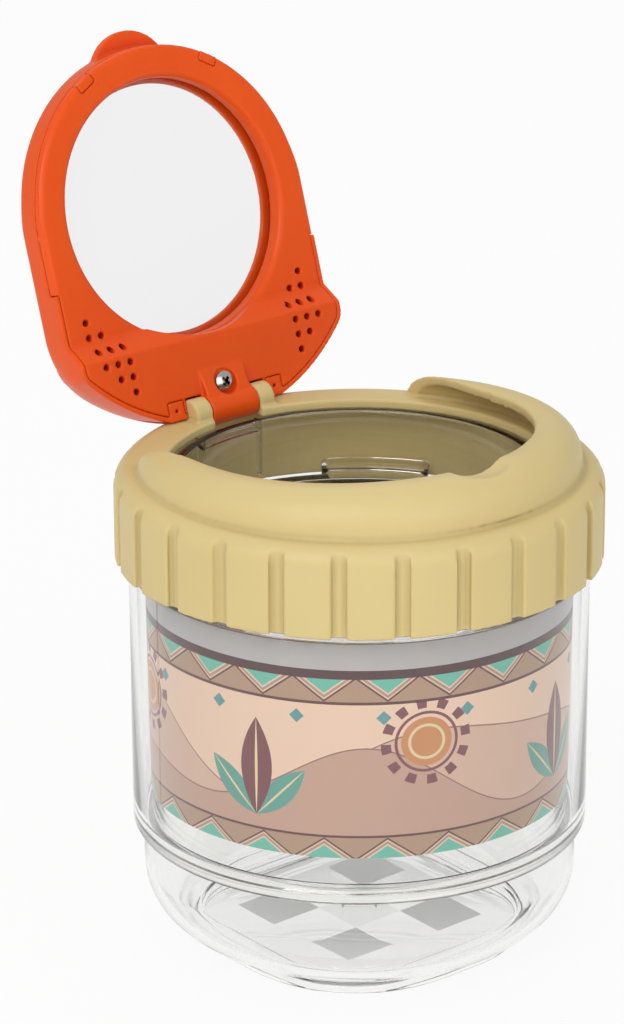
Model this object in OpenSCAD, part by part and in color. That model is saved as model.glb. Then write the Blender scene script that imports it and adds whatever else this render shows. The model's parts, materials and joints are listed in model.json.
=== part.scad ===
// A bug catcher jar: a clear double-walled jar with a printed band between its walls, a turning
// collar with grip panels, and a hinged lid that carries a magnifying lens and air holes.
// The foot stands on z = 0, the jar's axis is Z, the hinge lies towards +Y and the thumb tab
// of the closed lid points to -Y. The lid is drawn resting open on the collar's edge.

/* [Jar] */
// Outer radius of the lower body
body_r = 45; // [42:0.5:50]
// Distance of the foot's flats inside the lower body
foot_in = 12.2; // [11.8:0.1:13]
// Half length of the foot's straight edges
foot_flat = 4.2; // [2.8:0.1:6.8]
// Width of the foot's ring at its flats
foot_rim_w = 4.3; // [4:0.1:5]
// Half length of the floor's straight edges
floor_flat = 11.8; // [10.5:0.1:12.9]
// Height of the bowl's underside over the table
bowl_lift = 2.8; // [2.4:0.1:4.2]
// Radius of the bowl between the side and the floor
bowl_r = 13.8; // [13:0.1:14.2]
// Wall of the inner jar
jar_wall = 1.8; // [1.4:0.1:2.2]
// Thickness of the floor
floor_t = 1.8; // [1.4:0.1:2.2]
// Height of the floor's underside inside the foot ring
foot_recess = 1.4; // [0.8:0.1:1.6]
// Height of the step on which the outer sleeve stands
step_z = 27.5; // [26.5:0.1:28.5]
// Width of the step
step_w = 1.6; // [1.2:0.1:2.4]
// Width of the slanted shoulder under the neck
shoulder_w = 4.4; // [4:0.1:5.4]
// Gap between the shoulder and the sleeve's top wall
shoulder_gap = 0.1; // [0.1:0.1:4]
// Depth of the neck's rim below the deck's top
rim_drop = 1.6; // [1.4:0.1:2.2]

/* [Bayonet] */
// Number of bayonet lugs on the neck
lug_count = 4; // [3:1:4]
// Half angle of one neck lug
lug_half_a = 17; // [12:1:18]
// Radial height of a neck lug
lug_rise = 4.6; // [3.6:0.2:5]
// Thickness of a neck lug
lug_t = 2; // [1.4:0.1:2.6]
// Half angle of one lug inside the collar
catch_half_a = 14; // [10:1:15]
// Thickness of a lug inside the collar
catch_t = 2; // [1.4:0.1:2.2]
// Play between the collar's lugs and the neck's
bayonet_play = 0.3; // [0.2:0.05:0.5]
// Half width of the ribbed frame on the neck behind the hinge
frame_half_w = 8.3; // [7:0.1:9.5]
// Angle by which that frame is turned past the hinge
frame_turn_a = 5.5; // [0:0.5:10]
// Width of the ribs on the neck
rib_w = 0.9; // [0.6:0.1:1.4]

/* [Sleeve and band] */
// Distance by which the outer sleeve stands out past the lower body
sleeve_out = 2.2; // [1.8:0.1:2.6]
// Wall of the outer sleeve
sleeve_wall = 1.8; // [1.4:0.1:2]
// Depth of the sleeve's lower edge below the step
sleeve_drop = 1.7; // [1.6:0.1:3.2]
// Thickness of the sleeve's bottom ring above the step
sleeve_ring_t = 1.8; // [1.2:0.1:2.4]
// Radius of the sleeve's lower outer edge
sleeve_edge_r = 1.3; // [0.6:0.1:1.6]
// Gap between the sleeve's bottom ring and the printed band
band_low_gap = 5.65; // [0.1:0.05:8]
// Gap between the printed band's plain margin and the sleeve's top wall
band_top_gap = 0.6; // [0.4:0.1:4]
// Thickness of the band's film
band_t = 0.3; // [0.2:0.05:0.5]
// Angle of the band's open seam
band_seam_a = 1; // [0.5:0.5:3]

/* [Collar] */
// Distance by which the grip panels stand out past the sleeve
collar_out = 2.8; // [2.4:0.1:3.8]
// Height of the collar's flat deck
deck_z = 102.6; // [98:0.2:110]
// Height of the collar from its lower edge to the deck
collar_h = 18.7; // [18.2:0.1:18.8]
// Thickness of the deck
deck_t = 2; // [1.6:0.1:2.4]
// Wall of the collar's skirt under the grooves
skirt_wall = 2; // [1.4:0.1:2.4]
// Number of grip panels
panel_count = 25; // [18:1:30]
// Width of the groove between two panels
groove_w = 3; // [2:0.1:4]
// Depth of a groove
groove_d = 1.2; // [0.6:0.1:1.3]
// Angle of the first groove
groove_first_a = -91.4; // [-97:0.1:-83]
// Radius of the skirt's upper edge
deck_edge_r = 4; // [3:0.1:4.2]
// Play between the deck's hole and the neck
neck_play = 0.5; // [0.3:0.05:0.8]
// Distance of the crescent dome's foot inside the grip panels
dome_in = 4.7; // [4:0.1:5.6]
// Height of the dome's top over the deck, above the jar's axis
dome_h = 7.4; // [7.3:0.1:8.4]
// Radius of the dome's rounded outer side
dome_edge_r = 7.2; // [5:0.1:7.2]
// Radius of the dome's inner roll towards the lid
dome_roll_r = 6.4; // [5:0.1:7]
// Angle by which the dome's top rises towards the thumb tab
dome_tilt = 3.6; // [2:0.2:4.2]
// Distance of the dome's rounded ends before the hinge
dome_end_in = 15; // [14.4:0.1:16]
// Radius of the thumb scoop
scoop_r = 13; // [12:0.1:14]
// Height of the thumb scoop's bottom over the deck
scoop_rise = 7.6; // [7.2:0.1:8]
// Distance of the thumb scoop's middle inside the thumb tab's tip
scoop_in = 1.9; // [1.3:0.1:2.9]
// Wall of the dome's shell
dome_wall = 1.8; // [1.2:0.1:2.2]
// Gap between the dome and the closed lid
lid_gap = 1.4; // [0.9:0.05:1.6]

/* [Hinge] */
// Distance of the hinge inside the grip panels
hinge_in = 7; // [6.4:0.1:8]
// Height of the hinge over the deck
hinge_rise = 1; // [1:0.05:1.2]
// Outer radius of the ears and the barrel
ear_r = 3.3; // [2.8:0.1:3.4]
// Inner distance of an ear from the middle
ear_x = 6.3; // [5.4:0.1:7]
// Thickness of an ear
ear_w = 4; // [3:0.1:4.6]
// Radius of the hinge pin
pin_r = 1; // [0.8:0.05:1.3]
// Running clearance of the pin in the barrel
pin_play = 0.06; // [0.03:0.01:0.1]
// Side clearance between barrel and ears
ear_play = 0.2; // [0.1:0.05:0.4]
// Angle by which the lid stands open
lid_open_a = 107.9; // [100:0.1:108]

/* [Lid] */
// Distance of the hinge behind the lid's round part
hinge_behind = 8.9; // [8.8:0.1:9.2]
// Distance by which the lid's rear corners stand out past its round part
lid_flare = 0.3; // [0.1:0.1:0.5]
// Distance of the lid's rear edge behind the hinge
lid_behind = 3; // [2.4:0.1:3.2]
// Radius of the lid's rear corners
lid_corner_r = 3.8; // [3:0.1:5]
// Height of the lid's ring over the hinge axis when closed
face_rise = 3.95; // [3.9:0.05:4.2]
// Thickness of the lid at its ring
lid_t = 7.5; // [7.3:0.1:7.8]
// Distance before the hinge at which the inner face starts to drop
ramp_in = 19.7; // [19:0.1:20]
// Drop of the inner face towards the hinge
plate_drop = 4.1; // [4:0.05:4.15]
// Distance of the lid's heel behind the hinge axis
heel_out = 0.7; // [0.5:0.05:0.75]
// Distance of the stop notch before the hinge axis
notch_in = 1.5; // [1.5:0.05:1.7]
// Height of the stop notch over the hinge axis
notch_rise = 7.5; // [7.4:0.05:7.6]
// Rise of the notch's roof towards the rear edge
notch_lift = 1.2; // [1.1:0.05:1.3]
// Wall of the orange cover
cover_wall = 1; // [0.9:0.05:1.2]
// Thickness of the cover's top
cover_t = 1.5; // [1.4:0.05:1.6]
// Radius of the thumb tab's disc
tab_r = 10.2; // [9:0.1:10.4]
// Distance by which the thumb tab stands out past the lid's edge
tab_out = 3.8; // [2.9:0.1:4.1]
// Thickness of the thumb tab
tab_t = 1.9; // [1.6:0.1:2]
// Thickness of the lid's inner frame
frame_t = 2; // [1.6:0.1:2.2]
// Gap between the frame and the cover
seam = 0.12; // [0.1:0.01:0.2]
// Distance before the hinge at which the frame steps inside the cover
frame_step_in = 30.4; // [28:0.2:32]
// Distance by which the bore is wider than the lens's opening
bore_step = 1; // [0.6:0.1:1.4]
// Wall of the bore's collar
bore_wall = 1.5; // [1.3:0.1:1.6]
// Radius of the bore's rounded lip
bore_lip_r = 1.4; // [0.8:0.1:1.6]
// Length of a front catch
catch_l = 4.3; // [3.6:0.1:5]
// Depth of a front catch
catch_d = 2; // [1.6:0.1:2.2]
// Sideways place of the front catches
catch_x = 16; // [15:0.1:17]
// Distance of the front catches inside the lid's edge
catch_inset = 1.2; // [1.1:0.1:1.4]
// Gap between an ear and a rear catch
rear_catch_gap = 0.7; // [0.5:0.1:1.1]
// Width of a rear catch
rear_catch_w = 4; // [3:0.1:4.4]
// Length of a rear catch
rear_catch_l = 2; // [1.6:0.1:2.2]
// Radius of the small hole in a rear catch
rear_hole_r = 0.4; // [0.3:0.05:0.5]
// Radius of an air hole
vent_r = 0.72; // [0.5:0.01:0.9]
// Sideways distance between air holes
vent_pitch_x = 3.09; // [2.6:0.01:3.2]
// Lengthways distance between air holes
vent_pitch_y = 3.21; // [2.9:0.01:3.3]
// Distance of the outermost air holes inside the lid's side
vent_side = 6.2; // [5.6:0.1:6.6]
// Distance of the first air hole before the hinge
vent_in = 23.6; // [23:0.1:24]
// Half width of the hinge boss
boss_half_w = 5.7; // [5:0.1:6]
// Length of the hinge boss
boss_l = 8.8; // [8:0.1:9.4]

/* [Lens] */
// Width of the cover around the lens's clear opening
lens_border = 7.9; // [7.1:0.1:8.1]
// Distance by which the lens's rim reaches behind the cover
lens_lap = 3; // [2.6:0.1:3.1]
// Thickness of the lens's rim
lens_rim_t = 2.4; // [2:0.1:2.8]
// Height of the lens's outer curve
lens_outer_sag = 1.4; // [1:0.1:1.5]
// Height of the lens's inner curve
lens_inner_sag = 1.4; // [1:0.1:1.5]
// Width of the ring that holds the lens's rim
lens_ring_w = 1; // [0.8:0.1:1.2]

/* [Screw] */
// Distance of the screw from the hinge axis
screw_in = 5.2; // [5:0.1:5.4]
// Radius of the screw's pan head
screw_head_r = 2.15; // [1.9:0.05:2.3]
// Height of the screw's pan head
screw_head_h = 1.2; // [1:0.1:1.3]
// Width of the screw's cross slot
screw_slot_w = 0.7; // [0.5:0.05:0.8]
// Depth of the screw's cross slot
screw_slot_d = 0.8; // [0.6:0.05:0.9]
// Radius of the screw's shank
screw_r = 1.1; // [0.9:0.05:1.2]
// Length of the screw under its head
screw_l = 6; // [5:0.1:6.5]
// Radius of the recess around the screw's head
recess_r = 2.8; // [2.6:0.05:3]
// Wall of the post that takes the screw
post_wall = 0.8; // [0.7:0.05:1]

/* [Hidden] */
$fn = 96;
full_turn = 360;
right_a = 90;
// Overrun of every cut past the face it opens
cut = 0.5;
// Clearance between bonded or seated pieces
seat = 0.05;
// Foot and floor
foot_half = body_r - foot_in;
foot_corner_r = foot_half - foot_flat;
floor_half = foot_half - foot_rim_w;
floor_corner_r = floor_half - floor_flat;
floor_z = foot_recess + floor_t;
gate_r = 3.6;
gate_d = 0.4;
// Bowl between the floor and the side
bowl_x = body_r - bowl_r;
turn_z = bowl_lift + bowl_r;
foot_join_z = bowl_lift + jar_wall / 2;
// Sleeve and band
core_r = body_r - step_w;
sleeve_r = body_r + sleeve_out;
sleeve_in_r = sleeve_r - sleeve_wall;
sleeve_z = step_z - sleeve_drop;
collar_z = deck_z - collar_h;
sleeve_top_z = collar_z - bayonet_play;
band_r = core_r + seat + band_t;
band_z = step_z + seat + sleeve_ring_t + band_low_gap;
band_h = sleeve_top_z - sleeve_wall - band_top_gap - band_z;
band_seam_at = 164;
// Neck and its lugs
neck_r = core_r - shoulder_w;
neck_z = sleeve_top_z - sleeve_wall - shoulder_gap;
shoulder_z = neck_z - shoulder_w;
rim_z = deck_z - rim_drop;
slant = sqrt(2) - 1;
lug_first_a = 45;
catch_z = collar_z + bayonet_play + catch_t;
lug_z = catch_z + bayonet_play;
lug_out_r = neck_r + lug_rise;
lug_overlap = 2;
catch_in_r = lug_out_r - lug_overlap;
// Ribbed frame on the neck behind the hinge
rib_rise = 1.8;
rib_low_z = lug_z + lug_t;
rib_top_z = rim_z - 2 * bayonet_play;
rib_bar_drop = 2.4;
// Collar
collar_r = sleeve_r + collar_out;
skirt_in_r = collar_r - groove_d - skirt_wall;
deck_hole_r = neck_r + neck_play;
// Hinge
hinge_y = collar_r - hinge_in;
hinge_z = deck_z + hinge_rise;
ear_end_x = ear_x + ear_w;
barrel_half_w = ear_x - ear_play;
pin_rest = 1;
pin_end_x = ear_end_x - pin_rest;
ear_sweep_r = sqrt(pow(ear_r, 2) + pow(hinge_rise, 2)) + ear_play;
// Lid
lid_r = hinge_y - hinge_behind;
lid_half_w = lid_r + lid_flare;
lid_rear_r = hinge_y + lid_behind;
face_z = hinge_z + face_rise;
plate_z = face_z - plate_drop;
lid_top_z = face_z + lid_t;
ramp_y = hinge_y - ramp_in;
ramp_end_y = ramp_y + plate_drop;
frame_step_y = hinge_y - frame_step_in;
heel_y = hinge_y + heel_out;
notch_y = hinge_y - notch_in;
notch_z = hinge_z + notch_rise;
notch_end_z = notch_z + notch_lift * (collar_r - notch_y) / (lid_rear_r - notch_y);
lid_corner_x = lid_half_w - lid_corner_r;
lid_corner_y = sqrt(pow(lid_rear_r - lid_corner_r, 2) - pow(lid_corner_x, 2));
corner_a = atan2(lid_corner_y, lid_corner_x);
cover_under_z = lid_top_z - cover_t;
tab_reach = lid_r + tab_out;
tab_y = tab_reach - tab_r;
tab_low_z = lid_top_z - tab_t;
vent_x = lid_half_w - vent_side;
vent_y = hinge_y - vent_in;
rear_catch_x = ear_end_x + rear_catch_gap;
catch_r = lid_r - catch_inset;
catch_a = asin(catch_x / catch_r);
catch_top_z = face_z + frame_t;
boss_y = hinge_y - boss_l;
boss_reach = sqrt(pow(boss_l, 2) + pow(hinge_z - plate_z, 2));
boss_a = acos(ear_r / boss_reach) - right_a + asin((hinge_z - plate_z) / boss_reach);
// Dome and its scoop
dome_r = collar_r - dome_in;
dome_crest_r = dome_r - dome_edge_r;
dome_end_y = hinge_y - dome_end_in;
scoop_y = tab_reach - scoop_in;
scoop_z = deck_z + scoop_rise + scoop_r;
// Lens and screw
lens_open_r = lid_r - lens_border;
lens_r = lens_open_r + lens_lap;
lens_low_z = cover_under_z - seat - lens_rim_t;
bore_r = lens_open_r + bore_step;
bore_top_z = lens_low_z - seat;
lens_steps = 720;
screw_y = hinge_y - screw_in;
screw_seat_z = plate_z + seat;
plate_top_z = plate_z + frame_t;
post_r = screw_r + post_wall;
screw_tip_z = screw_seat_z + screw_l;
head_dome_r = 2 * screw_head_r;

module half_section(x0, z0, x1, z1) {
    translate([x0, z0]) square([x1 - x0, z1 - z0]);
}

module sector(r0, r1, t, half_a) {
    rotate(-half_a)
        rotate_extrude(angle = 2 * half_a) translate([r0, 0]) square([r1 - r0, t]);
}

module rounded_square(half, r) {
    square([2 * half, 2 * (half - r)], center = true);
    square([2 * (half - r), 2 * half], center = true);
    for (sx = [-1, 1]) for (sy = [-1, 1])
        translate([sx * (half - r), sy * (half - r)]) circle(r = r);
}

// Filled half section of the vessel, shrunk by in on every side, its step sloping up by ramp
module vessel_half(in, ramp, top_z) {
    half_section(0, bowl_lift + in, bowl_x, turn_z);
    intersection() {
        translate([bowl_x, turn_z]) circle(r = bowl_r - in);
        half_section(bowl_x - seat, 0, body_r, turn_z + seat);
    }
    polygon([
        [0, turn_z], [body_r - in, turn_z], [body_r - in, step_z - in],
        [core_r - in, step_z - in + ramp], [core_r - in, shoulder_z - in * slant],
        [neck_r - in, neck_z - in * slant], [neck_r - in, top_z], [0, top_z]
    ]);
}

// Shallow ribs on the neck's outside that frame the hinge
module neck_frame() {
    difference() {
        intersection() {
            translate([0, 0, rib_low_z])
                cylinder(r = neck_r + rib_rise, h = rib_top_z - rib_low_z);
            union() {
                for (s = [-1, 1])
                    translate([s * frame_half_w - rib_w / 2, 0, rib_low_z])
                        cube([rib_w, collar_r, rib_top_z - rib_low_z]);
                translate([-frame_half_w, 0, rib_top_z - rib_bar_drop])
                    cube([2 * frame_half_w, collar_r, rib_w]);
            }
        }
        cylinder(r = neck_r - jar_wall / 2, h = rim_z);
    }
}

module inner_jar() {
    color([0.93, 0.94, 0.95, 0.35])
    difference() {
        union() {
            rotate_extrude() vessel_half(0, 0, rim_z);
            linear_extrude(foot_join_z) rounded_square(foot_half, foot_corner_r);
            translate([0, 0, lug_z])
                for (i = [0 : lug_count - 1])
                    rotate(lug_first_a + i * full_turn / lug_count)
                        sector(neck_r - jar_wall / 2, lug_out_r, lug_t, lug_half_a);
            rotate(frame_turn_a) neck_frame();
        }
        rotate_extrude() vessel_half(jar_wall, body_r - core_r, rim_z + cut);
        translate([0, 0, floor_z])
            linear_extrude(turn_z - floor_z) rounded_square(floor_half, floor_corner_r);
        translate([0, 0, floor_z - gate_d]) cylinder(r = gate_r, h = floor_t);
        translate([0, 0, -cut])
            linear_extrude(foot_recess + cut) rounded_square(floor_half, floor_corner_r);
    }
}

module sleeve_half() {
    difference() {
        union() {
            half_section(body_r + seat, sleeve_z + sleeve_edge_r, sleeve_r, sleeve_top_z);
            half_section(body_r + seat, sleeve_z, sleeve_r - sleeve_edge_r, sleeve_top_z);
            translate([sleeve_r - sleeve_edge_r, sleeve_z + sleeve_edge_r])
                circle(r = sleeve_edge_r);
            half_section(core_r + seat, step_z + seat, sleeve_r - sleeve_edge_r,
                         step_z + seat + sleeve_ring_t);
            half_section(neck_r + seat, sleeve_top_z - sleeve_wall, sleeve_r, sleeve_top_z);
        }
        half_section(core_r + seat, step_z + seat + sleeve_ring_t,
                     sleeve_in_r, sleeve_top_z - sleeve_wall);
        half_section(core_r + seat, 0, body_r + seat, step_z + seat);
    }
}

module outer_sleeve() {
    color([0.9, 0.92, 0.94, 0.3]) rotate_extrude() sleeve_half();
}

module picture_band() {
    color([0.87, 0.72, 0.62])
    rotate(band_seam_at + band_seam_a / 2)
        rotate_extrude(angle = full_turn - band_seam_a)
            half_section(core_r + seat, band_z, band_r, band_z + band_h);
}

// Outline of the lid seen from above, in the closed position, grown by g
module lid_outline(g) {
    rear_r = lid_rear_r + g;
    join_x = rear_r * cos(corner_a);
    join_y = rear_r * sin(corner_a);
    circle(r = lid_r + g);
    for (s = [-1, 1])
        translate([s * lid_corner_x, lid_corner_y]) circle(r = lid_corner_r + g);
    translate([-lid_half_w - g, 0]) square([2 * (lid_half_w + g), lid_corner_y]);
    intersection() {
        circle(r = rear_r);
        polygon([[0, 0], [join_x, join_y], [join_x, rear_r], [-join_x, rear_r], [-join_x, join_y]]);
    }
}

module tab_outline(g) {
    translate([0, -tab_y]) circle(r = tab_r + g);
}

// Turned half section of the dome over the deck, shrunk by in
module dome_half(in) {
    half_section(0, -deck_t, dome_r - in, dome_h - dome_edge_r);
    half_section(0, -deck_t, dome_crest_r, dome_h - dome_roll_r);
    translate([dome_crest_r, dome_h - dome_edge_r]) circle(r = dome_edge_r - in);
    intersection() {
        translate([dome_crest_r, dome_h - dome_roll_r]) circle(r = dome_roll_r - in);
        half_section(0, 0, dome_crest_r, dome_h);
    }
}

// The dome with its rounded ends, shrunk by in
module dome_solid(in) {
    intersection() {
        translate([0, 0, deck_z]) rotate([-dome_tilt, 0, 0]) rotate_extrude() dome_half(in);
        translate([0, 0, deck_z - deck_t / 2]) cylinder(r = collar_r, h = collar_r);
        translate([-collar_r, 0, 0]) rotate([right_a, 0, right_a]) linear_extrude(2 * collar_r) {
            translate([-collar_r, 0])
                square([collar_r + dome_end_y - dome_h, deck_z + collar_r]);
            translate([dome_end_y - dome_h, deck_z]) circle(r = dome_h - in);
        }
    }
}

module scoop_ball(g) {
    translate([0, -scoop_y, scoop_z]) sphere(r = scoop_r + g);
}

module dome() {
    difference() {
        union() {
            difference() {
                dome_solid(0);
                dome_solid(dome_wall);
            }
            intersection() {
                dome_solid(0);
                scoop_ball(dome_wall);
            }
        }
        scoop_ball(0);
        translate([0, 0, deck_z - deck_t]) linear_extrude(collar_r) lid_outline(lid_gap);
        translate([0, 0, tab_low_z - lid_gap / 2]) linear_extrude(collar_r)
            tab_outline(lid_gap);
    }
}

module ear(s) {
    translate([s * ear_x, hinge_y, hinge_z]) rotate([0, s * right_a, 0])
        cylinder(r = ear_r, h = ear_w);
    translate([s > 0 ? ear_x : -ear_end_x, hinge_y - ear_r, deck_z - deck_t / 2])
        cube([ear_w, 2 * ear_r, hinge_rise + deck_t / 2]);
}

module screw_collar() {
    color([0.85, 0.77, 0.54])
    difference() {
        union() {
            difference() {
                rotate_extrude() difference() {
                    union() {
                        half_section(0, collar_z, collar_r, deck_z - deck_edge_r);
                        half_section(0, collar_z, collar_r - deck_edge_r, deck_z);
                        translate([collar_r - deck_edge_r, deck_z - deck_edge_r])
                            circle(r = deck_edge_r);
                    }
                    half_section(0, collar_z - cut, skirt_in_r, deck_z - deck_t);
                    half_section(0, collar_z, deck_hole_r, deck_z + cut);
                }
                for (i = [0 : panel_count - 1])
                    rotate(groove_first_a + i * full_turn / panel_count)
                        translate([collar_r - groove_d, -groove_w / 2, collar_z - cut])
                            cube([2 * groove_d, groove_w, deck_z - collar_z + cut]);
            }
            dome();
            for (s = [-1, 1]) ear(s);
            translate([0, 0, catch_z - catch_t])
                for (i = [0 : lug_count - 1])
                    rotate(lug_first_a + i * full_turn / lug_count)
                        sector(catch_in_r, skirt_in_r + skirt_wall / 2, catch_t, catch_half_a);
        }
        translate([-ear_x, 0, deck_z - deck_t - cut])
            cube([2 * ear_x, hinge_y + ear_r + ear_play, deck_t + hinge_rise]);
        translate([-pin_end_x, hinge_y, hinge_z]) rotate([0, right_a, 0])
            cylinder(r = pin_r + seat / 2, h = pin_end_x + ear_end_x + cut);
    }
}

// Turns what is drawn for the closed lid to its open rest
module open_lid() {
    translate([0, hinge_y, hinge_z]) rotate([-lid_open_a, 0, 0])
        translate([0, -hinge_y, -hinge_z]) children();
}

module hinge_pin() {
    color([0.75, 0.76, 0.78])
    translate([-pin_end_x + seat, hinge_y, hinge_z]) rotate([0, right_a, 0])
        cylinder(r = pin_r, h = pin_end_x + ear_end_x - seat);
}

module vent_holes(z0, z1) {
    for (s = [-1, 1]) for (k = [0 : 2]) for (j = [0 : 3])
        translate([s * (vent_x - k * vent_pitch_x), vent_y + (j + k) * vent_pitch_y, z0])
            cylinder(r = vent_r, h = z1 - z0);
}

// Plan of the cover's front catches, or of their notches when grown by g
module front_catches(g) {
    for (s = [-1, 1])
        rotate(s * catch_a) translate([0, -catch_r])
            square([catch_l + 2 * g, catch_d + 2 * g], center = true);
}

module rear_catches(g) {
    for (s = [-1, 1])
        translate([s > 0 ? rear_catch_x - g : -rear_catch_x - rear_catch_w - g,
                   notch_y - rear_catch_l - g])
            square([rear_catch_w + 2 * g, collar_r]);
}

module ear_slots() {
    for (s = [-1, 1])
        translate([s > 0 ? ear_x - ear_play : -ear_end_x - ear_play, hinge_y - ear_sweep_r,
                   plate_z - lid_t])
            cube([ear_w + 2 * ear_play, 2 * ear_sweep_r, hinge_z + ear_sweep_r - plate_z + lid_t]);
}

// Points of the lid's inner face and notch seen from the side, the rear ones moved in by in
function face_points(in) = [
    [-collar_r, face_z], [ramp_y, face_z], [ramp_end_y, plate_z], [heel_y - in, plate_z],
    [notch_y - in, notch_z]
];

// Closed lid seen from the side, with the rear edge that hangs over the notch
module lid_side() {
    polygon(concat(face_points(0),
                   [[collar_r, notch_end_z], [collar_r, lid_top_z], [-collar_r, lid_top_z]]));
}

// Room inside the cover seen from the side, its rear end moved in by in
module hollow_side(in) {
    polygon(concat(face_points(in), [[notch_y - in, lid_top_z], [-collar_r, lid_top_z]]));
}

// Stands a side view given in y and z up across the lid's whole width
module across() {
    translate([-collar_r, 0, 0]) rotate([right_a, 0, right_a])
        linear_extrude(2 * collar_r) children();
}

module lid_cover() {
    color([0.91, 0.34, 0.12])
    open_lid() difference() {
        union() {
            difference() {
                intersection() {
                    linear_extrude(lid_top_z) lid_outline(0);
                    across() lid_side();
                }
                intersection() {
                    linear_extrude(cover_under_z) lid_outline(-cover_wall);
                    across() union() {
                        hollow_side(cover_wall);
                        translate([-collar_r, plate_z - cut])
                            square([collar_r + heel_y - cover_wall, cut + seat]);
                    }
                }
                translate([-collar_r, -collar_r, face_z - cut])
                    cube([2 * collar_r, collar_r + frame_step_y, frame_t + seam + cut]);
            }
            translate([0, 0, tab_low_z]) linear_extrude(tab_t) tab_outline(0);
            translate([0, 0, lens_low_z]) linear_extrude(cover_under_z - lens_low_z + seat)
                difference() {
                    circle(r = lens_r + seat + lens_ring_w);
                    circle(r = lens_r + seat);
                }
            translate([0, screw_y, plate_top_z + seat])
                cylinder(r = post_r, h = cover_under_z - plate_top_z);
            translate([0, 0, face_z + seat]) linear_extrude(lid_t - cover_t) front_catches(0);
            intersection() {
                translate([0, 0, plate_z + seat]) linear_extrude(frame_t) rear_catches(0);
                across() lid_side();
            }
        }
        translate([0, 0, cover_under_z - cut]) cylinder(r = lens_open_r, h = cover_t + 2 * cut);
        translate([0, 0, lens_low_z - cut])
            cylinder(r = lens_r + seat, h = cover_under_z - lens_low_z + cut);
        translate([0, screw_y, 0]) cylinder(r = screw_r + seat / 2, h = screw_tip_z + seat);
        for (s = [-1, 1])
            translate([s * (rear_catch_x + rear_catch_w / 2), notch_y, plate_z])
                cylinder(r = rear_hole_r, h = frame_t);
        vent_holes(face_z, lid_top_z + cut);
        ear_slots();
        translate([-ear_x, hinge_y - ear_sweep_r, plate_z - cut])
            cube([2 * ear_x, 2 * ear_sweep_r, hinge_z + ear_sweep_r - plate_z + cut]);
    }
}

module frame_plan() {
    difference() {
        lid_outline(-seam);
        translate([-collar_r, frame_step_y - seam]) square([2 * collar_r, collar_r]);
    }
    lid_outline(-cover_wall - seam);
}

// The bent sheet of the frame, seen from the side
module frame_side() {
    intersection() {
        hollow_side(cover_wall + seam);
        polygon([
            [-collar_r, face_z - cut], [collar_r, plate_z - plate_drop], [collar_r, plate_top_z],
            [ramp_end_y, plate_top_z], [ramp_y, face_z + frame_t],
            [-collar_r, face_z + frame_t]
        ]);
    }
}

// The boss that carries the barrel, seen from the side
module boss_side() {
    polygon([
        [boss_y, plate_z], [boss_y, plate_top_z], [notch_y, plate_top_z],
        [hinge_y, hinge_z + ear_r], [hinge_y, hinge_z],
        [hinge_y - ear_r * sin(boss_a), hinge_z - ear_r * cos(boss_a)]
    ]);
    translate([hinge_y, hinge_z]) circle(r = ear_r);
}

module lid_frame() {
    color([0.87, 0.31, 0.1])
    open_lid() difference() {
        union() {
            difference() {
                union() {
                    intersection() {
                        linear_extrude(lid_top_z) frame_plan();
                        across() frame_side();
                    }
                    translate([0, 0, face_z])
                        cylinder(r = bore_r + bore_wall, h = bore_top_z - face_z);
                }
                linear_extrude(catch_top_z + cut) front_catches(seam);
                linear_extrude(catch_top_z + cut) rear_catches(seam);
                ear_slots();
            }
            translate([-boss_half_w, 0, 0]) rotate([right_a, 0, right_a])
                linear_extrude(2 * boss_half_w) boss_side();
            translate([-barrel_half_w, hinge_y, hinge_z]) rotate([0, right_a, 0])
                cylinder(r = ear_r, h = 2 * barrel_half_w);
        }
        translate([0, 0, plate_z - ear_r])
            cylinder(r = bore_r, h = lid_top_z - plate_z + ear_r);
        rotate_extrude() difference() {
            half_section(bore_r - cut, face_z - cut, bore_r + bore_lip_r, face_z + bore_lip_r);
            translate([bore_r + bore_lip_r, face_z + bore_lip_r]) circle(r = bore_lip_r);
            half_section(bore_r, face_z - cut, bore_r + bore_lip_r, face_z - seat);
        }
        translate([-barrel_half_w - cut, hinge_y, hinge_z]) rotate([0, right_a, 0])
            cylinder(r = pin_r + pin_play, h = 2 * (barrel_half_w + cut));
        translate([0, screw_y, 0]) cylinder(r = screw_r + pin_play, h = lid_top_z);
        translate([0, screw_y, 0]) cylinder(r = recess_r, h = screw_seat_z);
        vent_holes(plate_z - cut, catch_top_z + cut);
    }
}

// Half section of a lens curve of the given sag, its edge at z = 0
module lens_curve(sag) {
    ball_r = (pow(lens_open_r, 2) + pow(sag, 2)) / (2 * sag);
    intersection() {
        translate([0, sag - ball_r]) circle(r = ball_r, $fn = lens_steps);
        half_section(0, -seat, lens_open_r - seat, 2 * sag);
    }
}

module lens() {
    color([0.9, 0.95, 1, 0.4])
    open_lid() translate([0, 0, lens_low_z]) rotate_extrude() {
        half_section(0, 0, lens_r, lens_rim_t);
        translate([0, lens_rim_t]) lens_curve(lens_outer_sag);
        mirror([0, 1]) lens_curve(lens_inner_sag);
    }
}

module lid_screw() {
    color([0.7, 0.71, 0.73])
    open_lid() translate([0, screw_y, screw_seat_z]) difference() {
        union() {
            translate([0, 0, -screw_head_h]) intersection() {
                cylinder(r = screw_head_r, h = screw_head_h);
                translate([0, 0, head_dome_r]) sphere(r = head_dome_r);
            }
            translate([0, 0, -screw_head_h / 2])
                cylinder(r = screw_r, h = screw_l + screw_head_h / 2);
        }
        for (a = [0, right_a])
            translate([0, 0, -screw_head_h]) rotate(a + right_a / 2)
                cube([screw_head_r, screw_slot_w, 2 * screw_slot_d], center = true);
    }
}

inner_jar();
outer_sleeve();
picture_band();
screw_collar();
hinge_pin();
lid_cover();
lid_frame();
lens();
lid_screw();
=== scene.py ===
import json
import math

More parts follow.
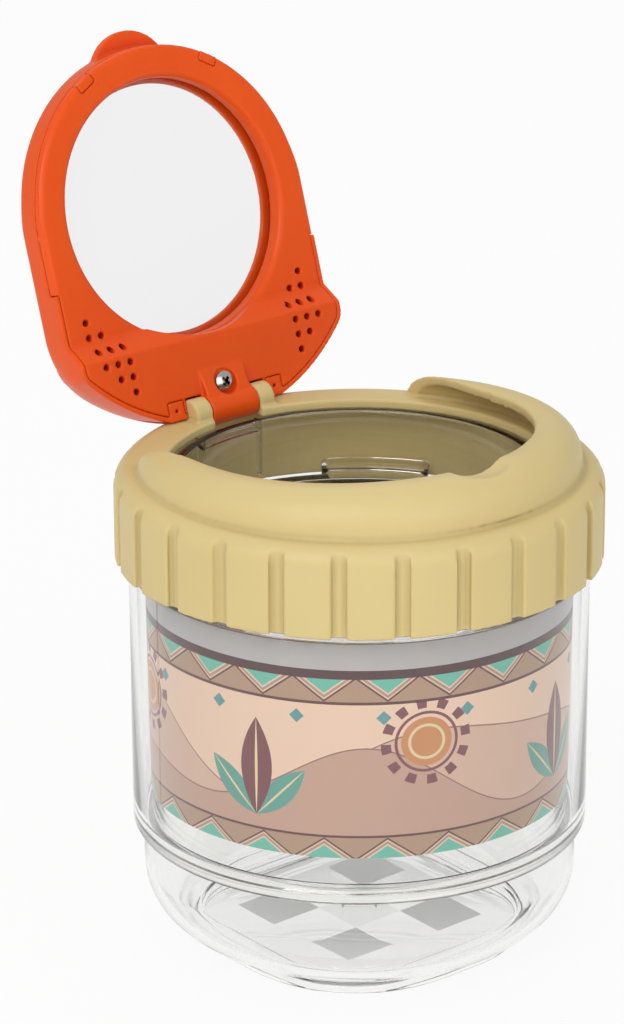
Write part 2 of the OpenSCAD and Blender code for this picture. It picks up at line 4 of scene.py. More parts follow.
import bmesh
import bpy
import numpy as np
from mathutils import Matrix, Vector


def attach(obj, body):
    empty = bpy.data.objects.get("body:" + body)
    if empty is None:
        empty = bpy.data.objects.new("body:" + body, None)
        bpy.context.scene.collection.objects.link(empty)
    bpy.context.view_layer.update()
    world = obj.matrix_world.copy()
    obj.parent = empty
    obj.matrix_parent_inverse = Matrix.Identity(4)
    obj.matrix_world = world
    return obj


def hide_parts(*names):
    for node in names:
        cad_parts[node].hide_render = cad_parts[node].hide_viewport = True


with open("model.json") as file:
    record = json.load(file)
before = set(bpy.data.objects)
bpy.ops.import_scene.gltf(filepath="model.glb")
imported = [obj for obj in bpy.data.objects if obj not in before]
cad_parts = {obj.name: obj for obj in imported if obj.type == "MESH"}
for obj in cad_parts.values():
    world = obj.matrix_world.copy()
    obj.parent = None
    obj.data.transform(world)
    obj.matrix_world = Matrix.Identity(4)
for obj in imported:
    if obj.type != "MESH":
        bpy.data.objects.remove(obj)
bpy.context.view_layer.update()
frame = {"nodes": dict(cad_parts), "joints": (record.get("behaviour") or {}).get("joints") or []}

# Sizes are in millimetres, as the parts are made, and angles in radians. The lid's heights and places are
# those of the closed lid.
MM = 0.001
WALL = 1.8  # thickness of the jar and the sleeve
SEAT = 0.05  # gap between pieces that rest on each other
HAIRLINE = 0.01  # gap between the neck and the lugs, which are shells of their own

# The jar's foot, floor and bowl
FOOT_HALF, FOOT_CORNER = 32.8, 28.6
FLOOR_HALF, FLOOR_CORNER = 28.5, 16.7
FOOT_FADE, FLOOR_FADE = math.radians(20), math.radians(35)  # turn of the bowl over which each fades out
RECESS_Z, FLOOR_Z = 1.4, 3.2  # the floor's underside and its top
GATE_R, GATE_DEEP = 3.6, 0.4  # the dimple in the middle of the floor
BODY_R, TURN_Z, BOWL_R = 45.0, 16.6, 13.8  # the body's radius, the height and radius of the bowl's arc
CHEQUER = 12.2  # width of a square of the floor's chequer
CHEQUER_SKIN = 0.1  # how far from the floor's underside a point still counts as on it

# The jar's wall above the step, its neck, and what stands out from the neck
CORE_R, STEP_Z = 43.4, 27.5
NECK_R, RIM_Z, SHOULDER_Z = 39.0, 101.0, 77.3
SLANT = math.sqrt(2) - 1  # drop of the wall's inner corner at the 45 degree shoulder, as a share of the wall
LUG_COUNT, LUG_HALF, LUG_RISE = 4, math.radians(17), 4.6  # the half is half a lug's angle
LUG_Z, LUG_T, LUG_END = 86.5, 2.0, 2.2  # underside, thickness, length of each rounded end
RIB_RISE, RIB_W, RIB_END = 1.8, 0.9, 0.4
RIB_DROP, LEDGE_DROP = 0.6, 2.4  # from the rim to the ribs' top, and from there to the ledge's underside
FRAME_AT, FRAME_HALF = math.radians(95.5), math.radians(12.6)

# The sleeve and the film between the walls
SLEEVE_R, SLEEVE_Z, SLEEVE_TOP = 47.2, 25.8, 83.6
SLEEVE_EDGE, SLEEVE_RING = 1.3, 1.8  # softness of its lower edge, thickness of the ring on which it stands
SLEEVE_SEAM = 0.6, 0.7  # heights up the ring's inside at which its profile starts and ends
BAND_Z, BAND_H, BAND_T = 35.0, 46.2, 0.3
BAND_SEAM, BAND_GAP = math.radians(164), math.radians(1)

# The lens
LENS_OPEN, LENS_SAG = 26.2, 1.4  # radius and height of each curved face
LENS_R, LENS_RIM, LENS_BEVEL, LENS_LOW_Z = 29.2, 2.4, 0.3, 111.1  # its rim: radius, height, bevel, underside

# The lid
LID_R, LID_HALF, LID_TOP = 34.1, 34.4, 115.05  # radius of its round front, half its width, its top
FACE_Z, FRAME_STEP_Y = 107.55, 12.6  # its face, and how far back the frame's ring reaches its outline
FACE_PLAN, TOP_PLAN = (3.8, 46.0), (18.0, 44.9)  # an outline's corner radius and rear radius
TAB_R, TAB_Y = 10.2, 27.7  # the thumb tab's radius, and how far in front of the axis its middle is
TOP_ROUND, FACE_ROUND = 1.0, 1.3  # radii of its outer edges
FLARE_RUN = 9.0  # length over which its round front widens to the straight sides
STEP_ZONE = 1.0  # length behind the step over which the outline's own points still move
EDGE_ZONE = 5.0  # depth inside the outline over which a move of its edge fades out
SLACK = 0.4  # how far a resampled point may lie from the surface that it belongs to

# The meshes
JAR_COLUMNS, BAND_COLUMNS, LENS_COLUMNS = 384, 360, 256
LENS_RINGS, BAR_COLUMNS = 40, 60
MERGE, SLIVER = 0.002, 0.001  # points nearer than this become one, and edges shorter than this go
SHARP = math.radians(35)  # faces that meet more sharply keep a hard edge
QUAD_LIMIT = 95000  # thinned to as many quads, a piece stays under 200,000 triangles

# The band's design, by its heights
BORDERS = ((68.5, 73.4, False), (BAND_Z, 39.5, True))  # low, high, teeth pointing up
LINES = ((68.0, 68.6), (39.4, 39.9))
MARGIN_LOW, MARGIN_HIGH = 73.4, 75.3
TEETH, CELLS = 22, 8  # round the whole band
HILLS = ((56, 7, 2.5, 0.4, "#E4BBA4"), (50, 6, 3, 2.2, "#CFA48F"))  # level, first, second, start, colour
HILL_LINE = 0.3
PLANT_Z, SUN_Z, DIAMOND_Z, DIAMOND_HALF = 42.5, 59.5, 65.2, 1.5
# Each leaf's tilt, length, half width and colour
LEAVES = ((-0.75, 15, 2.6, "#5FA596"), (0.75, 15, 2.6, "#5FA596"), (0, 21, 3.4, "#7E3B42"))
VEIN = 0.09  # a vein's width as a share of its leaf's
SUN_R, SUN_INNER, SUN_OUTER, SUN_BEAMS, BEAM_COUNT = 5.2, (3.2, 3.8), (5.9, 6.5), (7.2, 9.2), 12
CREAM, ROSE, WINE, HILL_BROWN, BORDER_BROWN = "#F0D9A8", "#F2D2BE", "#84424A", "#9A6A5E", "#5E2A28"

# The view and the lamps: azimuth, elevation, distance in metres, then a lamp's width in metres and its watts
CAMERA_FROM, CAMERA_AIM_Z = (-40, 20.5, 0.9), 92
FOCAL_LENGTH, SENSOR, SHIFT_X = 155.2, 36, -0.0463
LAMP_AIM_Z = 80
LAMPS = (("key", -66, 40, 1.3, 0.7, 7.0), ("fill", -8, 24, 1.5, 1.0, 4.4), ("back", 150, 55, 1.4, 0.9, 2.8))

HINGE = next(j for j in frame["joints"] if j["name"] == "lid_hinge")
HINGE_AT = np.array(HINGE["pos_m"])
OPEN_ANGLE = math.radians(HINGE["range_deg"][1])


def linear(code):
    """The linear colour of an sRGB hex code: each channel c becomes ((c + 0.055) / 1.055) ** 2.4, or, near
    black, c / 12.92."""
    channels = [int(code[i:i + 2], 16) / 255 for i in (1, 3, 5)]
    return tuple(c / 12.92 if c < 0.04045 else ((c + 0.055) / 1.055) ** 2.4 for c in channels) + (1,)


def add(tree, kind, *sources, links=None, **settings):
    """Adds one node and returns its first output, if it has one. A source is a number, a colour, a socket
    or (operation, sources...), which becomes a Math node."""
    node = tree.nodes.new(kind)
    for key, value in settings.items():
        setattr(node, key, value)
    for key, source in [*enumerate(sources), *(links or {}).items()]:
        if isinstance(source, tuple) and isinstance(source[0], str):
            source = add(tree, "ShaderNodeMath", *source[1:], operation=source[0])
        if isinstance(source, bpy.types.NodeSocket):
            tree.links.new(source, node.inputs[key])
        else:
            node.inputs[key].default_value = source
    return node.outputs[0] if node.outputs else None


def new_material(name):
    """A material and its node tree, which is empty."""
    material = bpy.data.materials.new(name)
    material.use_nodes = True
    material.node_tree.nodes.clear()
    return material, material.node_tree


def between(value, low, high):
    """Is 1 where value lies between low and high, else 0."""
    return ("MULTIPLY", ("GREATER_THAN", value, low), ("LESS_THAN", value, high))


def layered(tree, ground, layers):
    """Lays each (mask, hex colour) over the ones before it."""
    colour = linear(ground)
    for mask, code in layers:
        colour = add(tree, "ShaderNodeMixRGB", mask, colour, linear(code))
    return colour


def painted_crease_shade(tree, reach_mm, strength):
    """Painted shade: grows from 0 on open faces to strength in creases narrower than reach_mm."""
    open_share = add(tree, "ShaderNodeAmbientOcclusion", links={"Distance": reach_mm * MM}, samples=8,
                     only_local=True).node.outputs["AO"]
    return "MULTIPLY", ("SUBTRACT", 1, open_share), strength


def moulded(name, light, dark, painted_shade_colour, shade, roughness, grain_mm, depth, scatter, spread):
    """Opaque ABS from a spark-eroded mould. Its grain spreads each highlight into a satin sheen, and slow
    drifts of tone show where the melt cooled unevenly. Grooves and corners are darkened towards a darker
    colour as painted shade, by shade, a reach in millimetres and a strength. The real grain is too fine to
    show, so grain_mm is as coarse as it needs to be."""
    material, tree = new_material(name)
    place = tree.nodes.new("ShaderNodeTexCoord").outputs["Object"]
    drift_mm = 30
    drift = add(tree, "ShaderNodeTexNoise", place, links={"Scale": 1 / (drift_mm * MM), "Detail": 3.0})
    grain = add(tree, "ShaderNodeTexNoise", place, links={"Scale": 1 / (grain_mm * MM), "Detail": 4.0})
    colour = add(tree, "ShaderNodeMixRGB", ("MULTIPLY", drift, 0.6), linear(light), linear(dark))
    # painted shade: grooves and corners darkened towards the third colour by the occlusion mask
    colour = add(tree, "ShaderNodeMixRGB", painted_crease_shade(tree, *shade), colour, linear(painted_shade_colour))
    rough = ("ADD", roughness - 0.04, ("MULTIPLY", grain, 0.08))
    bump = add(tree, "ShaderNodeBump", links={"Strength": depth, "Distance": 0.05 * MM, "Height": grain})
    shader = add(tree, "ShaderNodeBsdfPrincipled", links={
        "Base Color": colour, "Roughness": rough, "Normal": bump, "IOR": 1.52, "Specular IOR Level": 0.25,
        "Subsurface Weight": scatter, "Subsurface Radius": spread, "Subsurface Scale": 2.0 * MM,
    })
    add(tree, "ShaderNodeOutputMaterial", shader)
    return material


def chequer_mask(tree, place):
    """On the floor's underside it is 1 in the four squares that meet the middle one's corners and 0.25 in
    the middle one. Elsewhere it is 0."""
    x, y, z = add(tree, "ShaderNodeSeparateXYZ", place).node.outputs
    edge = CHEQUER * MM / 2
    corners = ("MULTIPLY", *[between(("ABSOLUTE", axis), edge, 3 * edge) for axis in (x, y)])
    middle = ("MULTIPLY", *[("LESS_THAN", ("ABSOLUTE", axis), edge) for axis in (x, y)])
    on_floor = between(z, (RECESS_Z - CHEQUER_SKIN) * MM, (RECESS_Z + CHEQUER_SKIN) * MM)
    squares = ("ADD", corners, ("MULTIPLY", middle, 0.25))
    return add(tree, "ShaderNodeMath", squares, on_floor, operation="MULTIPLY")


def clear_plastic(name, tint, frosted):
    """Clear moulded plastic, styrene for the walls and polished acrylic for the lens. It is smooth, so it
    bends what lies behind it and keeps small sharp highlights, and faint flow lines make these waver. Where
    frosted is true, the floor has a chequer that looks paler. Shadow and diffuse rays pass straight
    through, so that the shadow is as light as a clear jar's."""
    material, tree = new_material(name)
    place = tree.nodes.new("ShaderNodeTexCoord").outputs["Object"]
    flow_mm = 25
    flow = add(tree, "ShaderNodeTexNoise", place, links={"Scale": 1 / (flow_mm * MM), "Detail": 1.0})
    bump = add(tree, "ShaderNodeBump", links={"Strength": 0.04, "Distance": 0.1 * MM, "Height": flow})
    colour, rough, clearness = linear(tint), 0.02, 1.0
    if frosted:
        mask = chequer_mask(tree, place)
        colour = layered(tree, tint, [(mask, "#ECECEC")])
        rough = ("MULTIPLY", mask, 0.5)
        clearness = ("SUBTRACT", 1, ("MULTIPLY", mask, 0.6))
    shader = add(tree, "ShaderNodeBsdfPrincipled", links={
        "Base Color": colour, "Roughness": rough, "Transmission Weight": clearness, "IOR": 1.49,
        "Normal": bump,
    })
    ray = tree.nodes.new("ShaderNodeLightPath").outputs
    straight = add(tree, "ShaderNodeBsdfTransparent", linear("#F4F5F5"))
    lit = ("MAXIMUM", ray["Is Shadow Ray"], ray["Is Diffuse Ray"])
    add(tree, "ShaderNodeOutputMaterial", add(tree, "ShaderNodeMixShader", lit, shader, straight))
    return material


def hill_layers(tree, turn, z):
    """Rows of hills, the far one first. A crest's height is level + first * sin(3 * turn + start) + second
    * sin(5 * turn), and a thin line follows it."""
    layers = []
    for level, first, second, start, code in HILLS:
        crest = ("ADD", level, ("MULTIPLY", ("SINE", ("ADD", ("MULTIPLY", turn, 3), start)), first))
        fold = ("MULTIPLY", ("SINE", ("MULTIPLY", turn, 5)), second)
        over = add(tree, "ShaderNodeMath", z, ("ADD", crest, fold), operation="SUBTRACT")
        layers += [(("LESS_THAN", over, 0), code), (between(over, -HILL_LINE, 0), HILL_BROWN)]
    return layers


def leaf(a, b, tilt, length, half):
    """A pointed leaf from the point (0, 0), leaning by tilt, and its vein: half its width at share s of its
    length is 4 * half * s * (1 - s)."""
    c, s = math.cos(tilt), math.sin(tilt)
    across = ("ABSOLUTE", ("SUBTRACT", ("MULTIPLY", a, c), ("MULTIPLY", b, s)))
    share = ("DIVIDE", ("ADD", ("MULTIPLY", a, s), ("MULTIPLY", b, c)), length)
    width = ("MULTIPLY", ("MULTIPLY", share, ("SUBTRACT", 1, share)), 4 * half)
    return ("LESS_THAN", across, width), ("LESS_THAN", across, ("MULTIPLY", width, VEIN))


def motif_layers(tree, turn, z):
    """The band's cells hold a sun and a plant by turns, and two diamonds each. In a cell, a is the distance
    from its middle line. A sun's rings go by sqrt(a^2 + up^2), its beams by sin(count * angle), and a
    diamond is where |a| + |up| is small."""
    cell_w = math.tau * (CORE_R + BAND_T) / CELLS
    cell = add(tree, "ShaderNodeMath", turn, CELLS / math.tau, operation="MULTIPLY")
    a = add(tree, "ShaderNodeMath", ("SUBTRACT", ("FRACT", cell), 0.5), cell_w, operation="MULTIPLY")
    odd = add(tree, "ShaderNodeMath", ("FRACT", ("MULTIPLY", ("FLOOR", cell), 0.5)), 0.25,
              operation="GREATER_THAN")
    even = ("SUBTRACT", 1, odd)

    half_a = ("MULTIPLY", ("SUBTRACT", ("FRACT", ("MULTIPLY", cell, 2)), 0.5), cell_w / 2)
    diamond = ("ADD", ("ABSOLUTE", half_a), ("ABSOLUTE", ("SUBTRACT", z, DIAMOND_Z)))
    layers = [(("LESS_THAN", diamond, DIAMOND_HALF), "#5F9CA0")]

    up = add(tree, "ShaderNodeMath", z, SUN_Z, operation="SUBTRACT")
    far = add(tree, "ShaderNodeMath", ("ADD", ("MULTIPLY", a, a), ("MULTIPLY", up, up)), operation="SQRT")
    beams = ("GREATER_THAN", ("SINE", ("MULTIPLY", ("ARCTAN2", up, a), BEAM_COUNT)), 0.1)
    for mask, code in ((("LESS_THAN", far, SUN_R), "#D98F55"), (between(far, *SUN_INNER), CREAM),
                       (between(far, *SUN_OUTER), WINE),
                       (("MULTIPLY", between(far, *SUN_BEAMS), beams), WINE)):
        layers.append((("MULTIPLY", odd, mask), code))

    up = add(tree, "ShaderNodeMath", z, PLANT_Z, operation="SUBTRACT")
    for tilt, length, half, code in LEAVES:
        inside, vein = leaf(a, up, tilt, length, half)
        layers += [(("MULTIPLY", even, inside), code), (("MULTIPLY", even, vein), CREAM)]
    return layers


def border_layers(tree, turn, z):
    """Zigzag borders: over is the share of the border's height less the tooth line |fract(teeth) - 1/2| *
    2, and each stretch of it has its colour. Plain lines and the margin above close them off."""
    teeth = ("FRACT", ("MULTIPLY", turn, TEETH / math.tau))
    wave = add(tree, "ShaderNodeMath", ("ABSOLUTE", ("SUBTRACT", teeth, 0.5)), 2, operation="MULTIPLY")
    layers = []
    for low, high, teeth_up in BORDERS:
        share = ("DIVIDE", ("SUBTRACT", z, low), high - low)
        share = ("SUBTRACT", 1, share) if teeth_up else share
        over = add(tree, "ShaderNodeMath", share, wave, operation="SUBTRACT")
        for mask, code in ((1, "#BB967A"), (between(over, 0.02, 0.10), BORDER_BROWN),
                           (between(over, 0.13, 0.19), ROSE), (("GREATER_THAN", over, 0.32), ROSE),
                           (("GREATER_THAN", over, 0.40), "#6CC4AC")):
            layers.append((("MULTIPLY", between(z, low, high), mask), code))
    layers += [(between(z, low, high), BORDER_BROWN) for low, high in LINES]
    layers.append((between(z, MARGIN_LOW, MARGIN_HIGH), "#4F2024"))
    # The pale grey above the margin is partly painted shade: it stands for the film's clear top, through
    # which the back of the far print and the inside shaded by the collar show.
    layers.append((("GREATER_THAN", z, MARGIN_HIGH), "#C2BDBD"))
    return layers


def printed_film(name):
    """Polypropylene film, printed with hills, plants, suns and small diamonds of a plain kind between
    zigzag borders. The ink is flat and even, and its fine grain leaves a dull sheen on it. The grain is
    drawn coarser than the real one, so that it shows."""
    material, tree = new_material(name)
    place = tree.nodes.new("ShaderNodeTexCoord").outputs["Object"]
    x, y, height = add(tree, "ShaderNodeSeparateXYZ", place).node.outputs
    z = add(tree, "ShaderNodeMath", height, 1 / MM, operation="MULTIPLY")
    turn = add(tree, "ShaderNodeMath", y, x, operation="ARCTAN2")
    layers = hill_layers(tree, turn, z) + motif_layers(tree, turn, z) + border_layers(tree, turn, z)
    grain_mm = 0.4
    grain = add(tree, "ShaderNodeTexNoise", place, links={"Scale": 1 / (grain_mm * MM), "Detail": 2.0})
    shader = add(tree, "ShaderNodeBsdfPrincipled", links={
        "Base Color": layered(tree, "#FAD4B9", layers),
        "Roughness": ("ADD", 0.4, ("MULTIPLY", grain, 0.1)), "IOR": 1.5,
    })
    add(tree, "ShaderNodeOutputMaterial", shader)
    return material


def plated_steel(name):
    """Nickel plated steel: a bright metal with narrow highlights, which fine scratches make a little
    uneven. They are drawn coarser than real ones, so that they show. The slots of the screw's head,
    narrower than the shading's reach, are painted nearly black as shade."""
    material, tree = new_material(name)
    place = tree.nodes.new("ShaderNodeTexCoord").outputs["Object"]
    scratch_mm = 0.15
    scratch = add(tree, "ShaderNodeTexNoise", place, links={"Scale": 1 / (scratch_mm * MM), "Detail": 5.0})
    # The base colour holds painted shade: near black in the screw's slots.
    shader = add(tree, "ShaderNodeBsdfPrincipled", links={
        "Base Color": layered(tree, "#C6C4C0", [(painted_crease_shade(tree, 1.0, 1.8), "#151312")]), "Metallic": 1.0,
        "Roughness": ("ADD", 0.12, ("MULTIPLY", scratch, 0.12)),
    })
    add(tree, "ShaderNodeOutputMaterial", shader)
    return material


def opened(points, way=-1):
    """Turns points about the hinge: by minus the open angle from the closed lid to the resting one, or back
    with way = 1."""
    c, s = math.cos(way * OPEN_ANGLE), math.sin(way * OPEN_ANGLE)
    turn = np.array([[1, 0, 0], [0, c, -s], [0, s, c]])
    return (points - HINGE_AT) @ turn.T + HINGE_AT


def square_reach(half, corner, angle):
    """Distance from the middle to a rounded square at each angle: on its flats half / cos, and on its
    corners the larger root of the corner circle."""
    flat = half - corner
    c, s = np.abs(np.cos(angle)), np.abs(np.sin(angle))
    c, s = np.maximum(c, s), np.minimum(c, s)
    under_root = flat ** 2 * (c + s) ** 2 - 2 * flat ** 2 + corner ** 2
    on_corner = flat * (c + s) + np.sqrt(np.maximum(under_root, 0))
    return np.where(half * s / c <= flat, half / c, on_corner)


def softened_path(rows, steps=5):
    """Rounds each corner of rows by its last number, a length: between the points A and B at that distance
    on both sides of the corner C runs the curve (1-t)^2 A + 2t(1-t) C + t^2 B."""
    rows = np.array(rows, float)
    corner, soft = rows[:, :-1], rows[:, -1]
    out = [corner[:1]]
    t = np.linspace(0, 1, steps)[:, None]
    for i in range(1, len(rows) - 1):
        if soft[i] <= 0:
            out.append(corner[i:i + 1])
            continue
        sides = corner[i - 1] - corner[i], corner[i + 1] - corner[i]
        lengths = [max(np.linalg.norm(side[:2]), 1e-9) for side in sides]
        a, b = (corner[i] + side * min(soft[i] / n, 0.45) for side, n in zip(sides, lengths))
        out.append((1 - t) ** 2 * a + 2 * t * (1 - t) * corner[i] + t ** 2 * b)
    out.append(corner[-1:])
    return np.concatenate(out)


def grid_faces(rows, columns, wrap_rows, wrap_columns):
    """The quads of a grid of points, joined to itself where it wraps."""
    r = np.arange(rows if wrap_rows else rows - 1)
    c = np.arange(columns if wrap_columns else columns - 1)
    r, c = np.meshgrid(r, c, indexing="ij")
    r1, c1 = (r + 1) % rows, (c + 1) % columns
    corners = [r * columns + c, r * columns + c1, r1 * columns + c1, r1 * columns + c]
    return np.stack(corners, -1).reshape(-1, 4)


def capped_faces(rows, columns):
    """The faces of a closed outline of rows points carried along an open path: its quads, and a polygon
    over each of its two ends."""
    ends = np.arange(rows) * columns + np.array([[0], [columns - 1]])
    return [grid_faces(rows, columns, True, False), ends]


def ring_points(r, angle, height):
    """Points at (r * cos(angle), r * sin(angle), height)."""
    return np.stack([r * np.cos(angle), r * np.sin(angle), height + 0 * angle], -1) * MM


def turned(path, columns, start=0.0, sweep=math.tau):
    """Points of a profile (radius, height) carried round the axis, one row for each point of the
    profile."""
    closed = sweep >= math.tau
    angle = start + np.linspace(0, sweep, columns, endpoint=not closed)
    return ring_points(path[:, 0, None], angle, path[:, 1, None])


def merged(mesh, is_new):
    """Merges a mesh's doubles. A new mesh also loses its slivers and has its faces turned outwards."""
    work = bmesh.new()
    work.from_mesh(mesh)
    bmesh.ops.remove_doubles(work, verts=work.verts, dist=MERGE * MM)
    if is_new:
        bmesh.ops.dissolve_degenerate(work, edges=work.edges, dist=SLIVER * MM)
        bmesh.ops.recalc_face_normals(work, faces=work.faces)
    work.to_mesh(mesh)
    work.free()


def dressed(name, mesh, body, material, nodes):
    """Puts a finished mesh into the scene with its material, body, slot and the nodes it stands for."""
    mesh.materials.clear()
    mesh.materials.append(material)
    made = bpy.data.objects.new(name, mesh)
    bpy.context.scene.collection.objects.link(made)
    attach(made, body)
    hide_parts(*nodes)


def piece(name, points, faces, body, material, nodes):
    """Makes a piece from points and groups of faces. It rides on body, takes its finish from material and
    stands for nodes."""
    mesh = bpy.data.meshes.new(name)
    corners = [face for group in faces for face in group.tolist()]
    mesh.from_pydata(np.reshape(points, (-1, 3)).tolist(), [], corners)
    merged(mesh, True)
    mesh.shade_smooth()
    mesh.set_sharp_from_angle(angle=SHARP)
    dressed(name, mesh, body, material, nodes)


def flare_at(y):
    """How far the lid's round part stands out past its own radius: flare * s * s * (3 - 2 * s), where s
    climbs from 0 to 1 over the last stretch before y = 0."""
    s = np.clip(1 + y / FLARE_RUN, 0, 1)
    return (LID_HALF - LID_R) * s * s * (3 - 2 * s)


def lid_inset(x, y, corner, rear):
    """Distance inside the closed lid's outline: its round part's radius and flare less the distance from
    the middle in front, the half width less |x| beside it, then the corner's radius less the distance from
    the corner's centre, and behind that the rear arc's radius less the distance from the middle."""
    far, reach = np.abs(x), np.hypot(x, y)
    corner_x = LID_HALF - corner
    corner_y = math.sqrt((rear - corner) ** 2 - corner_x ** 2)
    round_corner = corner - np.hypot(far - corner_x, y - corner_y)
    behind = np.where(far * corner_y > y * corner_x, round_corner, rear - reach)
    beside = np.where(y < corner_y, LID_HALF - far, behind)
    return np.where(y < 0, LID_R + flare_at(y) - reach, beside)


def moved_inwards(closed, outline, amount):
    """Moves points in plan by amount along the slope of the distance inside outline, a corner radius and a
    rear radius. The slope is that distance's change between a small step to each side, divided by both
    steps. The move along x comes first, and as x is a view of closed, the move along y starts from there."""
    x, y, _ = closed.T
    step = 0.01
    change = lid_inset(x + step, y, *outline) - lid_inset(x - step, y, *outline)
    closed[:, 0] += amount * change / (2 * step)
    change = lid_inset(x, y + step, *outline) - lid_inset(x, y - step, *outline)
    closed[:, 1] += amount * change / (2 * step)


def eased_flare(closed):
    """Eases the step from the round part to the wider sides: a point near the outline moves out by the
    flare, but not past the outline. Just behind the step only the outline's own points move."""
    x, y, _ = closed.T
    inset = np.maximum(lid_inset(x, y, *FACE_PLAN), 0)
    near = np.clip(1 - inset / EDGE_ZONE, 0, 1)
    behind = (y < STEP_ZONE) & (inset < LID_HALF - LID_R)
    out = np.where(y < 0, np.minimum(flare_at(y) * near, inset), np.where(behind, inset, 0))
    closed[:, 0] += out * np.sign(x)


def rounded_edge(closed, outline, radius, depth, allowed):
    """Rounds an edge: a point nearer than the radius to the outline and to the face is pulled onto the
    circle that touches both. Gives back how far each point sinks from the face."""
    x, y, _ = closed.T
    side, up = radius - lid_inset(x, y, *outline), radius - depth
    length = np.hypot(side, up)
    on_edge = allowed & (side < radius + SLACK) & (side > 0) & (up > 0) & (length > radius)
    pull = np.where(on_edge, 1 - radius / np.maximum(length, 1e-9), 0)
    moved_inwards(closed, outline, side * pull)
    return up * pull


def shaped_cover(points):
    """The cover's rear corners are rounder at its top than at its face: they move in by the difference of
    both outlines times (1 - depth / height)^2. That is so up to half an edge zone inside the outline, and
    it fades out over the next one. Then the edge of the top is rounded."""
    closed = opened(points, 1) / MM
    x, y, z = closed.T
    off_tab = np.hypot(x, y + TAB_Y) > TAB_R + SLACK
    eased_flare(closed)
    inset = lid_inset(x, y, *FACE_PLAN)
    share = np.clip(1 - (LID_TOP - z) / (LID_TOP - FACE_Z), 0, 1) ** 2
    near = np.clip(1.5 - inset / EDGE_ZONE, 0, 1)
    difference = inset - lid_inset(x, y, *TOP_PLAN)
    moved_inwards(closed, TOP_PLAN, np.where(y > 0, difference * share * near, 0))
    closed[:, 2] -= rounded_edge(closed, TOP_PLAN, TOP_ROUND, LID_TOP - z, off_tab)
    return opened(closed * MM)


def shaped_frame(points):
    """The frame's ring has a soft outer edge on the face, as far as it reaches the lid's outline."""
    closed = opened(points, 1) / MM
    _, y, z = closed.T
    eased_flare(closed)
    closed[:, 2] += rounded_edge(closed, FACE_PLAN, FACE_ROUND, z - FACE_Z, y < FRAME_STEP_Y)
    return opened(closed * MM)


def softened_copy(node, name, body, material, voxel, passes, reshape=None):
    """A moulded piece with soft edges: the node's solid resampled at voxel millimetres, its edges relaxed
    passes times, and its points then moved by reshape."""
    mesh = frame["nodes"][node].data.copy()
    merged(mesh, False)
    temp = bpy.data.objects.new(name + "_work", mesh)
    bpy.context.scene.collection.objects.link(temp)
    remesh = temp.modifiers.new("resample", "REMESH")
    remesh.mode, remesh.voxel_size = "VOXEL", voxel * MM
    smooth = temp.modifiers.new("relax", "SMOOTH")
    smooth.factor, smooth.iterations = 0.5, passes
    graph = bpy.context.evaluated_depsgraph_get()
    quads = len(temp.evaluated_get(graph).data.polygons)
    if quads > QUAD_LIMIT:
        thin = temp.modifiers.new("thin", "DECIMATE")
        thin.ratio = QUAD_LIMIT / quads
        graph = bpy.context.evaluated_depsgraph_get()
    final = bpy.data.meshes.new_from_object(temp.evaluated_get(graph))
    final.name = name
    bpy.data.objects.remove(temp)
    if reshape:
        points = np.empty(3 * len(final.vertices), np.float32)
        final.vertices.foreach_get("co", points)
        points = reshape(points.astype(float).reshape(-1, 3)).astype(np.float32)
        final.vertices.foreach_set("co", points.ravel())
        final.update()
    final.shade_smooth()
    dressed(name, final, body, material, [node])


def jar_rows():
    """The vessel's profile from under the floor, up its outside and down its inside: radius, height, share
    of the foot's outline, share of the floor's, softness. Both walls of the bowl are arcs about one
    centre."""
    bowl_x = BODY_R - BOWL_R
    foot_turn = math.asin((FOOT_HALF - bowl_x) / BOWL_R)
    rows = [
        (0, RECESS_Z, 0, 0, 0),
        (FLOOR_HALF, RECESS_Z, 0, 1, 0.5),
        (FLOOR_HALF, 0, 0, 1, 0.4),
        (FOOT_HALF, 0, 1, 0, 0.9),
    ]
    for a in np.linspace(foot_turn, math.pi / 2, 26):
        share = max(0, 1 - (a - foot_turn) / FOOT_FADE)
        rows.append((bowl_x + BOWL_R * math.sin(a), TURN_Z - BOWL_R * math.cos(a), share, 0, 0))

    neck_z = SHOULDER_Z + CORE_R - NECK_R
    drop = WALL * SLANT
    rows += [
        (BODY_R, STEP_Z, 0, 0, 0.4),
        (CORE_R, STEP_Z, 0, 0, 0.3),
        (CORE_R, SHOULDER_Z, 0, 0, 1.5),
        (NECK_R, neck_z, 0, 0, 1.5),
        (NECK_R, RIM_Z, 0, 0, 0.7),
        (NECK_R - WALL, RIM_Z, 0, 0, 0.7),
        (NECK_R - WALL, neck_z - drop, 0, 0, 1.5),
        (CORE_R - WALL, SHOULDER_Z - drop, 0, 0, 1.5),
        (CORE_R - WALL, STEP_Z - WALL + BODY_R - CORE_R, 0, 0, 1),
        (BODY_R - WALL, STEP_Z - WALL, 0, 0, 1),
    ]
    inner = BOWL_R - WALL
    for a in np.linspace(math.pi / 2, 0, 24):
        share = max(0, 1 - a / FLOOR_FADE)
        rows.append((bowl_x + inner * math.sin(a), TURN_Z - inner * math.cos(a), 0, share, 0))
    rows += [
        (FLOOR_HALF, TURN_Z - inner, 0, 1, 0.5),
        (FLOOR_HALF, FLOOR_Z, 0, 1, 0.7),
        (GATE_R, FLOOR_Z, 0, 0, 0.3),
        (GATE_R, FLOOR_Z - GATE_DEEP, 0, 0, 0.2),
        (0, FLOOR_Z - GATE_DEEP, 0, 0, 0),
    ]
    return rows


